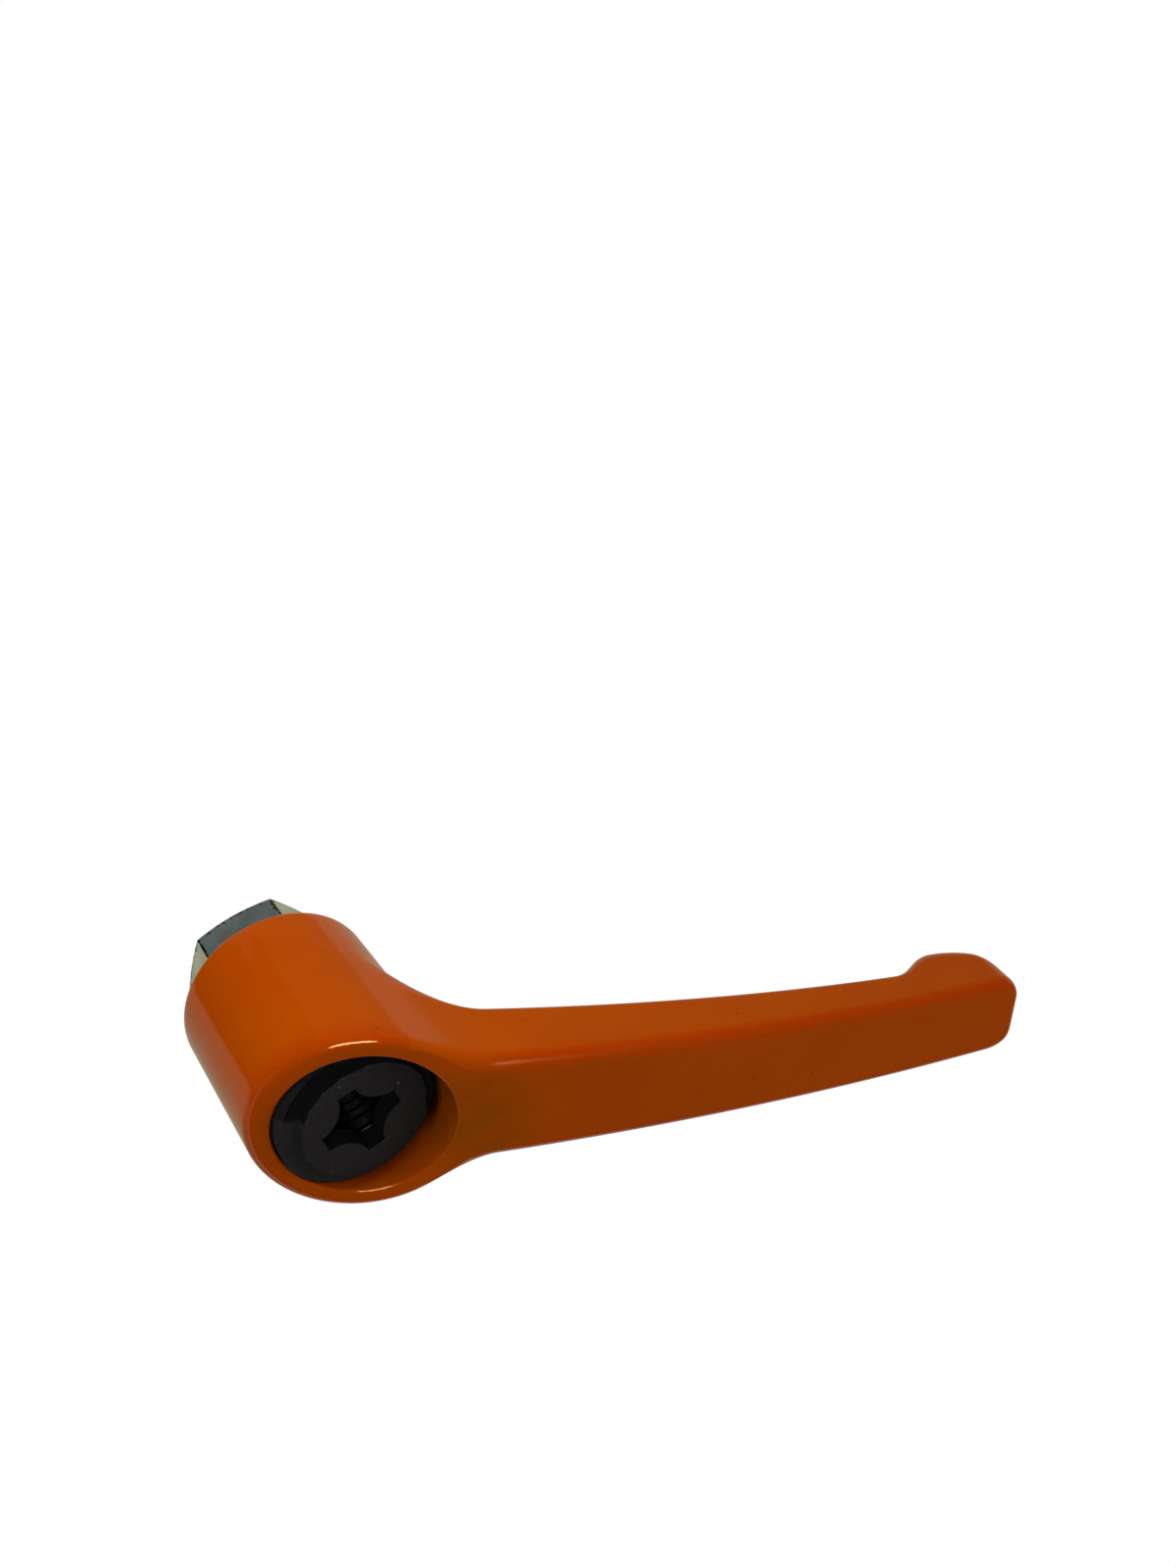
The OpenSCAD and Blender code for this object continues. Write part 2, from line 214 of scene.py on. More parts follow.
def orangePowderCoat(look):
    material, tree, shader, place = newMaterial("orange_powder_coat", {
        "Specular IOR Level": look["specular"], "Specular Tint": toLinear(look["tint"])})
    cloud = addNode(tree, "ShaderNodeTexNoise", inputs={
        "Vector": place, "Scale": 1 / (look["cloudMm"] * mm), "Detail": 2.0})
    tone = addNode(tree, "ShaderNodeValToRGB", inputs={"Fac": cloud.outputs["Fac"]})
    setRamp(tone, look["cloudStops"], (look["deep"], look["colour"], look["thin"]))
    # painted reflection: the rim's rounding and the arm's upper edges take the redder edge colour
    rounding = addNode(tree, "ShaderNodeAttribute", {"attribute_name": "rounding"})
    paint = addNode(tree, "ShaderNodeMix", {"data_type": "RGBA"}, {
        0: rounding.outputs["Fac"], 6: tone.outputs["Color"], 7: toLinear(look["edge"])})
    # painted shade: the coat is darker inside the mouth
    inside = addNode(tree, "ShaderNodeAttribute", {"attribute_name": "inside"})
    paint = addNode(tree, "ShaderNodeMix", {"data_type": "RGBA"}, {
        0: inside.outputs["Fac"], 6: paint.outputs[2], 7: toLinear(look["inside"])})
    # painted shadow on the counterbore's wall on the arm's side, fading out upwards
    spot = addNode(tree, "ShaderNodeSeparateXYZ", inputs={"Vector": place})
    side = addNode(tree, "ShaderNodeMapRange", {"interpolation_type": "SMOOTHSTEP"}, {
        "Value": spot.outputs["X"],
        "From Min": look["gapShadowXMm"][0] * mm, "From Max": look["gapShadowXMm"][1] * mm})
    height = addNode(tree, "ShaderNodeMapRange", {"interpolation_type": "SMOOTHSTEP"}, {
        "Value": spot.outputs["Z"],
        "From Min": look["gapShadowZMm"][0] * mm, "From Max": look["gapShadowZMm"][1] * mm,
        "To Min": 1.0, "To Max": 0.0})
    gapShadow = addNode(tree, "ShaderNodeMath", {"operation": "MULTIPLY"}, {
        0: side.outputs["Result"], 1: height.outputs["Result"]})
    gapShadow = addNode(tree, "ShaderNodeMath", {"operation": "MULTIPLY"}, {
        0: gapShadow.outputs[0], 1: inside.outputs["Fac"]})
    paint = addNode(tree, "ShaderNodeMix", {"data_type": "RGBA"}, {
        0: gapShadow.outputs[0], 6: paint.outputs[2], 7: toLinear(look["gapShadow"])})
    # grime fades out from the arm's root, in patches
    patchy = addNode(tree, "ShaderNodeTexNoise", inputs={
        "Vector": place, "Scale": 1 / (look["grimePatchMm"] * mm), "Detail": 5.0})
    grime = addNode(tree, "ShaderNodeMath", {"operation": "MULTIPLY"}, {
        0: spotMask(tree, place, look["grimeSpotMm"], look["grimeMm"]), 1: patchy.outputs["Fac"]})
    paint = addNode(tree, "ShaderNodeMix", {"data_type": "RGBA"}, {
        0: grime.outputs[0], 6: paint.outputs[2], 7: toLinear(look["grime"])})
    specks = addNode(tree, "ShaderNodeTexVoronoi", {"feature": "F1"}, {
        "Vector": place, "Scale": 1 / (look["speckEveryMm"] * mm)})
    speckMask = addNode(tree, "ShaderNodeMapRange", inputs={
        "Value": specks.outputs["Distance"],
        "From Min": look["speckR"][0], "From Max": look["speckR"][1],
        "To Min": look["speckStrength"], "To Max": 0.0})
    paint = addNode(tree, "ShaderNodeMix", {"data_type": "RGBA"}, {
        0: speckMask.outputs["Result"], 6: paint.outputs[2], 7: toLinear(look["speck"])})
    grain = addNode(tree, "ShaderNodeTexNoise", inputs={
        "Vector": place, "Scale": 1 / (look["grainMm"] * mm), "Detail": 2.0})
    shade = addNode(tree, "ShaderNodeMapRange", inputs={
        "Value": grain.outputs["Fac"],
        "From Min": look["grainFrom"][0], "From Max": look["grainFrom"][1],
        "To Min": look["grainShade"][0], "To Max": look["grainShade"][1]})
    paint = addNode(tree, "ShaderNodeVectorMath", {"operation": "SCALE"}, {
        0: paint.outputs[2], "Scale": shade.outputs["Result"]})
    tree.links.new(paint.outputs["Vector"], shader.inputs["Base Color"])
    gloss = addNode(tree, "ShaderNodeMapRange", {"interpolation_type": "SMOOTHSTEP"}, {
        "Value": spot.outputs["X"],
        "From Min": look["roughXMm"][0] * mm, "From Max": look["roughXMm"][1] * mm,
        "To Min": look["roughness"], "To Max": look["armRoughness"]})
    tree.links.new(gloss.outputs["Result"], shader.inputs["Roughness"])
    peel = addNode(tree, "ShaderNodeTexNoise", inputs={
        "Vector": place, "Scale": 1 / (look["peelMm"] * mm), "Detail": 1.0})
    bump = addNode(tree, "ShaderNodeBump", inputs={
        "Height": peel.outputs["Fac"], "Strength": look["peelStrength"],
        "Distance": look["peelDepthMm"] * mm})
    tree.links.new(bump.outputs["Normal"], shader.inputs["Normal"])
    return material


# Handle: hub, arm and finger stop in one casting, all sizes in mm above the hub's foot

handle = {
    # hub
    "hubR": 12.35, "hubH": 28.3, "topAngle": 21, "rimR": 1.2, "footR": 1.1,
    # bores
    "counterboreR": 9.8, "mouthEdge": 0.4, "boreEdge": 0.3, "webLow": 8, "webHigh": 11,
    "neckBoreR": 6.55, "plainBoreR": 8.1, "toothLow": 1.5, "toothHigh": 5.5, "toothCount": 36,
    "toothRootR": 7.18, "toothTipR": 7.98, "toothRootDeg": 3.97, "toothTipDeg": 1.77,
    # arm, measured along its top face from the hub's axis
    "armLen": 83.8, "bendStart": 9.6, "bendR": 380, "rootW": 15.2, "tipW": 11.2, "rootT": 11, "tipT": 5.6,
    "taperPower": 1.3, "edgeR": 1.5,
    "rootEdgeR": 1.95, "tipEdgeR": 1.4,       # upper edges, worked softer towards the hub
    "stopH": 4.2, "stopBack": 8.2, "stopRun": 7.6, "tipR": 3.6,
    # fillet between the two, fuller under the arm than beside it
    "filletLow": 7, "filletEnd": 15.03, "lowPull": 1.6, "sidePull": 0.85, "headingStep": 0.5,
    # painted reflection: redness of the rim's rounding, of the rows below it, and the share left in line
    # with the arm
    "rimRed": 0.8, "belowRimRed": (0.5, 0.25), "endRed": 0.35,
    # columns round the hub, half of those that the arm takes up, and the steps of each stretch
    "cols": 144, "halfCols": 26, "edgeN": 8, "cornerN": 8, "sideN": 12, "lowWallN": 4, "footN": 5,
    "boreEdgeN": 4, "boreN": 8, "mouthN": 6, "filletN": 28, "armN": 40, "stopN": 28, "tipN": 24,
    "sharpDeg": 38,
}


def arcFall(x):
    # 0 to 1, like the sag of a unit circle
    return 1 - math.sqrt(max(0, 1 - x * x))


def armTop(d, s):
    # point of the arm's top face at s along it, and its normal
    alpha = math.radians(d["topAngle"])
    bend = max(0, s - d["bendStart"]) / d["bendR"]
    flat = min(s, d["bendStart"])
    x = flat * math.cos(alpha) + d["bendR"] * (math.sin(alpha) - math.sin(alpha - bend))
    z = d["hubH"] + flat * math.sin(alpha) + d["bendR"] * (math.cos(alpha - bend) - math.cos(alpha))
    return np.array((x, 0, z)), np.array((-math.sin(alpha - bend), 0, math.cos(alpha - bend)))


def armSection(d, s):
    # ring of points that starts at the section's lower -Y corner
    taper = max(0, 1 - (s - d["bendStart"]) / (d["armLen"] - d["bendStart"])) ** d["taperPower"]
    stopS = d["armLen"] - d["stopBack"]
    swell = min(1, max(0, (s - stopS + d["stopRun"]) / d["stopRun"]))
    swell = (1 - math.cos(math.pi * swell)) / 2
    fall = {run: arcFall(max(0, s - d["armLen"] + d[run]) / d[run]) for run in ("tipR", "edgeR", "stopBack")}
    halfW = (d["tipW"] + (d["rootW"] - d["tipW"]) * taper) / 2 - d["tipR"] * fall["tipR"]
    drop = d["edgeR"] * fall["edgeR"]
    thick = d["tipT"] + (d["rootT"] - d["tipT"]) * taper + d["stopH"] * swell
    thick = thick + (2 * d["edgeR"] - thick) * fall["stopBack"] - drop
    low = min(d["edgeR"] * (1 + swell * (1 - fall["stopBack"])), halfW, thick / 2)
    high = min(d["tipEdgeR"] + (d["rootEdgeR"] - d["tipEdgeR"]) * taper, halfW, thick / 2)
    flank = []
    for a in np.linspace(0, math.pi / 2, d["cornerN"], endpoint=False):
        flank.append((halfW - low + low * math.sin(a), low - thick - low * math.cos(a)))
    for h in np.linspace(low - thick, -high, d["sideN"] + 1):
        flank.append((halfW, h))
    for a in np.linspace(0, math.pi / 2, d["edgeN"] + 1)[1:]:
        flank.append((halfW - high + high * math.cos(a), high * math.sin(a) - high))
    across = np.linspace(-1, 1, 2 * d["halfCols"], endpoint=False)
    ring = [(flank[0][0] * t, flank[0][1]) for t in across]
    ring += flank[:-1]
    ring += [(-flank[-1][0] * t, flank[-1][1]) for t in across]
    ring += [(-y, h) for y, h in flank[:0:-1]]
    top, up = armTop(d, s)
    top = top - drop * up
    return np.array([top + np.array((0, y, 0)) + h * up for y, h in ring])


def armStations(d):
    # closer together over the finger stop and round the tip
    stopS = d["armLen"] - d["stopBack"]
    stations = list(np.linspace(d["filletEnd"], stopS - d["stopRun"], d["armN"], endpoint=False))
    stations += list(np.linspace(stopS - d["stopRun"], stopS, d["stopN"], endpoint=False))
    stations += [stopS + d["stopBack"] * math.sin(a) for a in np.linspace(0, math.pi / 2, d["tipN"] + 1)]
    return stations


def hubTop(d, x):
    # height of the hub's sloping top face
    return d["hubH"] + x * math.tan(math.radians(d["topAngle"]))


def outerRows(d, deg):
    # the hub's outside, from the rim's inner edge down to the foot
    cosA = np.cos(np.radians(deg))
    rows = []
    for a in np.linspace(0, math.pi / 2, d["edgeN"] + 1):
        q = d["hubR"] - d["rimR"] * (1 - math.sin(a))
        rows.append(turnRow(q, hubTop(d, q * cosA) - d["rimR"] * (1 - math.cos(a)), deg))
    wallTop = hubTop(d, d["hubR"] * cosA) - d["rimR"]
    for v in np.linspace(0, 1, d["cornerN"] + d["sideN"] + 1)[1:]:
        rows.append(turnRow(d["hubR"], wallTop + (d["filletLow"] - wallTop) * v, deg))
    for z in np.linspace(d["filletLow"], d["footR"], d["lowWallN"] + 1)[1:]:
        rows.append(turnRow(d["hubR"], z, deg))
    for a in np.linspace(0, math.pi / 2, d["footN"] + 1)[1:]:
        rows.append(turnRow(d["hubR"] - d["footR"] * (1 - math.cos(a)), d["footR"] * (1 - math.sin(a)), deg))
    return rows


def innerRows(d, deg):
    # the bores, from the foot up to the mouth's edge
    cosA = np.cos(np.radians(deg))
    toothDeg, toothQ = toothRing(d)
    soft = d["boreEdge"]
    rows = [
        turnRow(d["plainBoreR"] + soft, 0, deg),
        turnRow(d["plainBoreR"], soft, deg),
        turnRow(d["plainBoreR"], d["toothLow"], toothDeg),
        turnRow(toothQ, d["toothLow"], toothDeg),
        turnRow(toothQ, d["toothHigh"], toothDeg),
        turnRow(d["plainBoreR"], d["toothHigh"], toothDeg),
        turnRow(d["plainBoreR"], d["webLow"], deg),
        turnRow(d["neckBoreR"], d["webLow"], deg),
        turnRow(d["neckBoreR"], d["webHigh"], deg),
    ]
    for a in np.linspace(0, math.pi / 2, d["boreEdgeN"] + 1):
        rows.append(turnRow(d["counterboreR"] - soft * (1 - math.sin(a)),
                            d["webHigh"] + soft * (1 - math.cos(a)), deg))
    floor = d["webHigh"] + soft
    edge = d["mouthEdge"]
    mouth = hubTop(d, d["counterboreR"] * cosA) - edge
    for v in np.linspace(0, 1, d["boreN"] + 1)[1:]:
        rows.append(turnRow(d["counterboreR"], floor + (mouth - floor) * v, deg))
    for a in np.linspace(0, math.pi / 2, d["mouthN"] + 1)[1:]:
        q = d["counterboreR"] + edge * (1 - math.cos(a))
        rows.append(turnRow(q, hubTop(d, q * cosA) - edge * (1 - math.sin(a)), deg))
    return rows


def armRoot(d, lowRow):
    # the opening in the hub's rows that the arm grows from: row and column numbers, in armSection's order
    half = d["halfCols"]
    root = [(lowRow, j) for j in range(-half, half)]
    root += [(lowRow - i, half) for i in range(lowRow)]
    root += [(0, half - j) for j in range(2 * half)]
    root += [(i, -half) for i in range(lowRow)]
    return root


def leaveWays(d, root, lowRow):
    # directions in which the skin leaves the hub: along the top face, round the wall or up the wall
    alpha = math.radians(d["topAngle"])
    wallN = d["cornerN"] + d["sideN"]
    ways = []
    for row, col in root:
        if row == 0:
            ways.append((math.cos(alpha), 0, math.sin(alpha)))
            continue
        c = math.radians(col * 360 / d["cols"])
        v = max(0, row - d["edgeN"]) / wallN
        rise = math.tan(alpha) * abs(math.sin(c)) * (1 - v)
        roundWay = np.array((abs(math.sin(c)), -np.sign(c) * math.cos(c), rise))
        roundWay = roundWay / max(np.linalg.norm(roundWay), 1e-6)
        # straight up below the arm's middle, 45 degrees at its lower corners, round the wall beside it
        if row == lowRow:
            tilt = 45 * (col / d["halfCols"]) ** 2
        else:
            tilt = min(90, 45 + 45 * (lowRow - row) / d["cornerN"])
        tilt = math.radians(tilt)
        ways.append(math.cos(tilt) * np.array((0, 0, 1)) + math.sin(tilt) * roundWay)
    return np.array(ways)


def filletRings(d, start, root, lowRow):
    # smooth curves from the hub's opening to the arm's first section
    end = armSection(d, d["filletEnd"])
    onward = armSection(d, d["filletEnd"] + d["headingStep"]) - end
    onward = onward / np.linalg.norm(onward, axis=1, keepdims=True)
    reach = np.linalg.norm(end - start, axis=1, keepdims=True)
    under = np.array([[1 - (col / d["halfCols"]) ** 2 if row == lowRow else 0] for row, col in root])
    pull = d["sidePull"] + (d["lowPull"] - d["sidePull"]) * under
    outward = pull * reach * leaveWays(d, root, lowRow)
    rings = []
    for u in np.linspace(0, 1, d["filletN"] + 1)[1:-1]:
        rings.append((1 + 2 * u) * (1 - u) ** 2 * start + u * (1 - u) ** 2 * outward
                     + u * u * (3 - 2 * u) * end + u * u * (u - 1) * reach * onward)
    return rings


def handleWeights(d, deg, rowN, firstInside, ringN):
    # rounding is 1 on the roundings of the rim and of the arm's upper edges, 0 on the flats; it places the
    # painted reflection
    rim = d["rimRed"] * np.sqrt(np.sin(np.linspace(0, math.pi / 2, d["edgeN"] + 1)))
    rim = np.concatenate((rim, d["belowRimRed"]))
    rim = np.concatenate((rim, np.zeros(rowN - len(rim))))
    beside = d["endRed"] + (1 - d["endRed"]) * np.abs(np.sin(np.radians(deg)))
    edge = np.sin(np.linspace(0, math.pi, d["edgeN"] + 1)).clip(0)
    flank = np.concatenate((np.zeros(d["cornerN"] + d["sideN"]), edge))
    across = np.zeros(2 * d["halfCols"])
    ring = np.concatenate((across, flank[:-1], across, flank[:0:-1]))
    # the painted redder edge starts where the arm leaves the hub
    grow = np.clip(np.arange(1, ringN + 1) / d["filletN"], 0, 1) ** 2
    tip = [0]     # the last point, in the middle of the tip
    rounding = np.concatenate((np.outer(rim, beside).ravel(), np.outer(grow, ring).ravel(), tip))
    # inside is 1 on the bores' walls, up to the mouth's edge
    inside = np.zeros(len(rounding))
    inside[firstInside * d["cols"]:(rowN - d["mouthN"]) * d["cols"]] = 1
    return {"rounding": rounding, "inside": inside}


def handleSkin(d):
    cols = d["cols"]
    half = d["halfCols"]
    deg = 360 / cols * np.arange(cols)
    outer = outerRows(d, deg)
    rows = outer + innerRows(d, deg)
    rowIds = [[i * cols + j for j in range(cols)] for i in range(len(rows))]
    lowRow = d["edgeN"] + d["cornerN"] + d["sideN"]      # where the fillet under the arm starts
    faces = gridFaces(rowIds, True, lambda i, j: i < lowRow and (j < half or j >= cols - half))
    root = armRoot(d, lowRow)
    start = np.array([rows[row][col % cols] for row, col in root])
    rings = filletRings(d, start, root, lowRow) + [armSection(d, s) for s in armStations(d)]
    base = len(rows) * cols
    ringN = len(root)
    ringIds = [[row * cols + col % cols for row, col in root]]
    ringIds += [[base + i * ringN + k for k in range(ringN)] for i in range(len(rings))]
    points = np.concatenate(rows + rings + [rings[-1].mean(axis=0)[None]])
    faces += [tuple(reversed(f)) for f in gridFaces(ringIds, False)]
    last = ringIds[-1]
    faces += [(len(points) - 1, last[k], last[(k + 1) % ringN]) for k in range(ringN)]
    weights = handleWeights(d, deg, len(rows), len(outer), len(rings))
    return points + np.array((0, 0, hubFoot)), faces, weights


lever = makePiece("lever_handle", handleSkin(handle), orangePowderCoat(powderCoat), "handle",
                  handle["sharpDeg"])
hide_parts("handle")
print("handle built with", len(lever.data.polygons), "faces")

# Zinc-plated steel: bright passivated plating over a turned surface, cool grey with faint streaks

zincPlate = {
    "colour": "#DDE0DA",
    "dull": "#C4C9C2",
    "cloudMm": 3,
    "cloudStops": (0.3, 0.62),
    "burr": "#5A5750",       # dark torn edges of the bar
    "tornMm": 0.6,
    "tornShare": 1.6,        # how far the tears wander off the edge
    "tornFrom": (1.42, 1.5),
    "stain": "#DCC9AA",      # one faint stain on a flat
    "stainSpotMm": (-4.6, 8.1, 3.4),
    "stainMm": (0, 1.6),
    "streakMm": 0.5,
    "streakFrom": (0.3, 0.7),
    "streakDepthMm": 0.03,
    "streakStrength": 0.03,
    "roughness": (0.19, 0.26),
}


def zincPlatedSteel(look):
    material, tree, shader, place = newMaterial("zinc_plated_steel", {"Metallic": 1.0})
    cloud = addNode(tree, "ShaderNodeTexNoise", inputs={
        "Vector": place, "Scale": 1 / (look["cloudMm"] * mm), "Detail": 4.0})
    tone = addNode(tree, "ShaderNodeValToRGB", inputs={"Fac": cloud.outputs["Fac"]})
    setRamp(tone, look["cloudStops"], (look["dull"], look["colour"]))
    torn = addNode(tree, "ShaderNodeTexNoise", inputs={
        "Vector": place, "Scale": 1 / (look["tornMm"] * mm), "Detail": 3.0})
    corner = addNode(tree, "ShaderNodeAttribute", {"attribute_name": "corner"})
    burr = addNode(tree, "ShaderNodeMath", {"operation": "MULTIPLY_ADD"}, {
        0: torn.outputs["Fac"], 1: look["tornShare"], 2: corner.outputs["Fac"]})
    burrMask = addNode(tree, "ShaderNodeMapRange", inputs={
        "Value": burr.outputs[0], "From Min": look["tornFrom"][0], "From Max": look["tornFrom"][1]})
    plate = addNode(tree, "ShaderNodeMix", {"data_type": "RGBA"}, {
        0: burrMask.outputs["Result"], 6: tone.outputs["Color"], 7: toLinear(look["burr"])})
    plate = addNode(tree, "ShaderNodeMix", {"data_type": "RGBA"}, {
        0: spotMask(tree, place, look["stainSpotMm"], look["stainMm"]),
        6: plate.outputs[2], 7: toLinear(look["stain"])})
    tree.links.new(plate.outputs[2], shader.inputs["Base Color"])
    streak = addNode(tree, "ShaderNodeTexNoise", inputs={
        "Vector": place, "Scale": 1 / (look["streakMm"] * mm), "Detail": 3.0})
    gloss = addNode(tree, "ShaderNodeMapRange", inputs={
        "Value": streak.outputs["Fac"],
        "From Min": look["streakFrom"][0], "From Max": look["streakFrom"][1],
        "To Min": look["roughness"][0], "To Max": look["roughness"][1]})
    tree.links.new(gloss.outputs["Result"], shader.inputs["Roughness"])
    bump = addNode(tree, "ShaderNodeBump", inputs={
        "Height": streak.outputs["Fac"], "Strength": look["streakStrength"],
        "Distance": look["streakDepthMm"] * mm})
    tree.links.new(bump.outputs["Normal"], shader.inputs["Normal"])
    return material


# Tapped steel: the bore is cut after plating, so it is bare; its near-black colour is painted shade deep in
# the bore

tappedBore = {
    # near black, as painted shade inside the bore and thread
    "colour": "#030303",
    "deep": "#010101",
    "grainMm": 0.4,
    "grainStops": (0.35, 0.7),
    "crestGlint": "#20211E",     # painted glint on a few crests
    "crestGlintSpotMm": (1.65, -4.6, 32.0),
    "crestGlintMm": (0.27, 0.9),
    "crestFrom": (0.8, 0.95),
    "roughness": 0.38,
}


def tappedSteel(look):
    material, tree, shader, place = newMaterial("tapped_steel", {
        "Metallic": 1.0, "Roughness": look["roughness"]})
    grain = addNode(tree, "ShaderNodeTexNoise", inputs={
        "Vector": place, "Scale": 1 / (look["grainMm"] * mm), "Detail": 3.0})
    tone = addNode(tree, "ShaderNodeValToRGB", inputs={"Fac": grain.outputs["Fac"]})
    setRamp(tone, look["grainStops"], (look["deep"], look["colour"]))
    # painted glint: the crests near one spot are coloured lighter
    crest = addNode(tree, "ShaderNodeAttribute", {"attribute_name": "crest"})
    high = addNode(tree, "ShaderNodeMapRange", inputs={
        "Value": crest.outputs["Fac"], "From Min": look["crestFrom"][0], "From Max": look["crestFrom"][1]})
    crestGlint = addNode(tree, "ShaderNodeMath", {"operation": "MULTIPLY"}, {
        0: spotMask(tree, place, look["crestGlintSpotMm"], look["crestGlintMm"]), 1: high.outputs["Result"]})
    steel = addNode(tree, "ShaderNodeMix", {"data_type": "RGBA"}, {
        0: crestGlint.outputs[0], 6: tone.outputs["Color"], 7: toLinear(look["crestGlint"])})
    tree.links.new(steel.outputs[2], shader.inputs["Base Color"])
    return material


# Threaded insert: hexagonal foot, serrated collar and neck, turned from one bar, mm above its end face

insert = {
    "hexAf": 18, "hexTurn": 17, "hexH": 8, "hexFaceR": 8, "hexBevelDeg": 30, "hexCornerR": 0.3,
    "cornerDeg": (0, 0.5, 1.1, 1.8, 2.6),     # columns close to each corner
    "tornRim": 0.6,                           # tears along the end's edge, against 1 at the corners
    "boreR": 5, "countersink": 0.7, "collarR": 6.9, "neckR": 6.5, "neckTop": 32.4, "neckBevel": 0.3,
    "toothLow": 9.5, "toothHigh": 13.5, "toothCount": 36,
    "toothRootR": 7.1, "toothTipR": 7.9, "toothRootDeg": 3.4, "toothTipDeg": 1.2,
    "edgeBevel": 0.12, "edgeSegments": 2, "sharpDeg": 25,
}


def hexagonRing(d, cols):
    # angles and radii of one turn of the hexagon with rounded corners, and angles from the nearest corner
    near = np.array(d["cornerDeg"])
    between = np.linspace(near[-1], 60 - near[-1], cols // 6 - 2 * len(near) + 3)[1:-1]
    local = np.concatenate((near, between, 60 - near[:0:-1]))
    deg = (60 * np.arange(6)[:, None] + local).ravel() + d["hexTurn"]
    fromCorner = np.radians((deg - d["hexTurn"] + 30) % 60 - 30)
    flat = d["hexAf"] / 2 / np.cos(math.pi / 6 - np.abs(fromCorner))
    centre = (d["hexAf"] / 2 - d["hexCornerR"]) / math.cos(math.pi / 6)
    arc = d["hexCornerR"] ** 2 - (centre * np.sin(fromCorner)) ** 2
    rounded = centre * np.cos(fromCorner) + np.sqrt(np.maximum(arc, 0))
    return deg, np.where(arc > 0, np.minimum(flat, rounded), flat), np.degrees(fromCorner)


def insertSkin(d):
    cols = 4 * d["toothCount"]
    deg = 360 / cols * np.arange(cols)
    hexDeg, hexQ, fromCorner = hexagonRing(d, cols)
    bevelZ = (hexQ - d["hexFaceR"]) * math.tan(math.radians(d["hexBevelDeg"]))
    toothDeg, toothQ = toothRing(d)
    sink = d["countersink"]
    # 1 along the corners of the hexagon, 0 from the last close column on
    torn = (1 - np.abs(fromCorner) / d["cornerDeg"][-1]).clip(0)
    # radius, height, angles and tears of each row, from the neck's end down and back up the bore
    rows = [
        (d["neckR"] - d["neckBevel"], d["neckTop"], deg, 0),
        (d["neckR"], d["neckTop"] - d["neckBevel"], deg, 0),
        (d["neckR"], d["toothHigh"], toothDeg, 0),
        (toothQ, d["toothHigh"], toothDeg, 0),
        (toothQ, d["toothLow"], toothDeg, 0),
        (d["collarR"], d["toothLow"], toothDeg, 0),
        (d["collarR"], d["hexH"], hexDeg, 0),
        (hexQ, d["hexH"], hexDeg, torn),
        (hexQ, (d["hexH"] + bevelZ) / 2, hexDeg, torn),
        (hexQ, bevelZ, hexDeg, np.maximum(torn, d["tornRim"])),
        (d["hexFaceR"], 0, hexDeg, 0),
        (d["boreR"] + sink, 0, hexDeg, 0),
        (d["boreR"], sink, hexDeg, 0),
        (d["boreR"], d["neckTop"] - sink / 2, deg, 0),
        (d["boreR"] + sink / 2, d["neckTop"], deg, 0),
    ]
    points = np.concatenate([turnRow(q, z, turn) for q, z, turn, tears in rows])
    corner = np.concatenate([tears + np.zeros(cols) for q, z, turn, tears in rows])
    # 1 on the bevel at the bore's upper mouth, which is the last two rows; the painted crest glint reaches
    # it there
    crest = np.zeros(len(points))
    crest[-2 * cols:] = 1
    rowIds = [[i * cols + j for j in range(cols)] for i in range(len(rows))]
    return points, gridFaces(rowIds, True), {"corner": corner, "crest": crest}


# Thread: a 60 degree ridge that winds up the bore and fades out at both ends

thread = {
    "pitch": 1.5, "minorR": 4.2, "startDeg": 182, "perTurn": 48,
    "startUp": 0.5, "endShort": 0.7,          # in pitches, from the lower countersink and the neck's end
    "halfW": 0.44, "crestHalfW": 0.06,        # in pitches
    "fadeSteps": 16, "endDepth": 0.05, "endW": 0.2,      # shares of depth and width left at the ends
    "sunk": 0.02, "sharpDeg": 25,
}


def threadSkin(d, bar):
    pitch = d["pitch"]
    turns = (bar["neckTop"] - bar["countersink"]) / pitch - d["endShort"]
    steps = int(turns * d["perTurn"])
    depth = bar["boreR"] - d["minorR"]
    wallQ = bar["boreR"] + d["sunk"]
    crestW = d["crestHalfW"] * pitch
    rings = []
    for i in range(steps + 1):
        a = 2 * math.pi * i / d["perTurn"] + math.radians(d["startDeg"])
        z = bar["countersink"] + d["startUp"] * pitch + pitch * i / d["perTurn"]
        fade = min(1, i / d["fadeSteps"], (steps - i) / d["fadeSteps"])
        crestQ = bar["boreR"] - depth * (d["endDepth"] + (1 - d["endDepth"]) * fade)
        half = d["halfW"] * pitch * (d["endW"] + (1 - d["endW"]) * fade)
        shape = ((wallQ, -half), (crestQ, -crestW), (crestQ, crestW), (wallQ, half))
        rings.append([(q * math.cos(a), q * math.sin(a), z + h) for q, h in shape])
    faces = []
    for i in range(steps):
        for k in range(4):
            faces.append((4 * i + k, 4 * i + (k + 1) % 4, 4 * i + 4 + (k + 1) % 4, 4 * i + 4 + k))
    faces.append((3, 2, 1, 0))
    faces.append(tuple(4 * steps + k for k in range(4)))
    crest = np.tile((0.0, 1.0, 1.0, 0.0), steps + 1)
    return np.array(rings).reshape(-1, 3), faces, {"crest": crest}


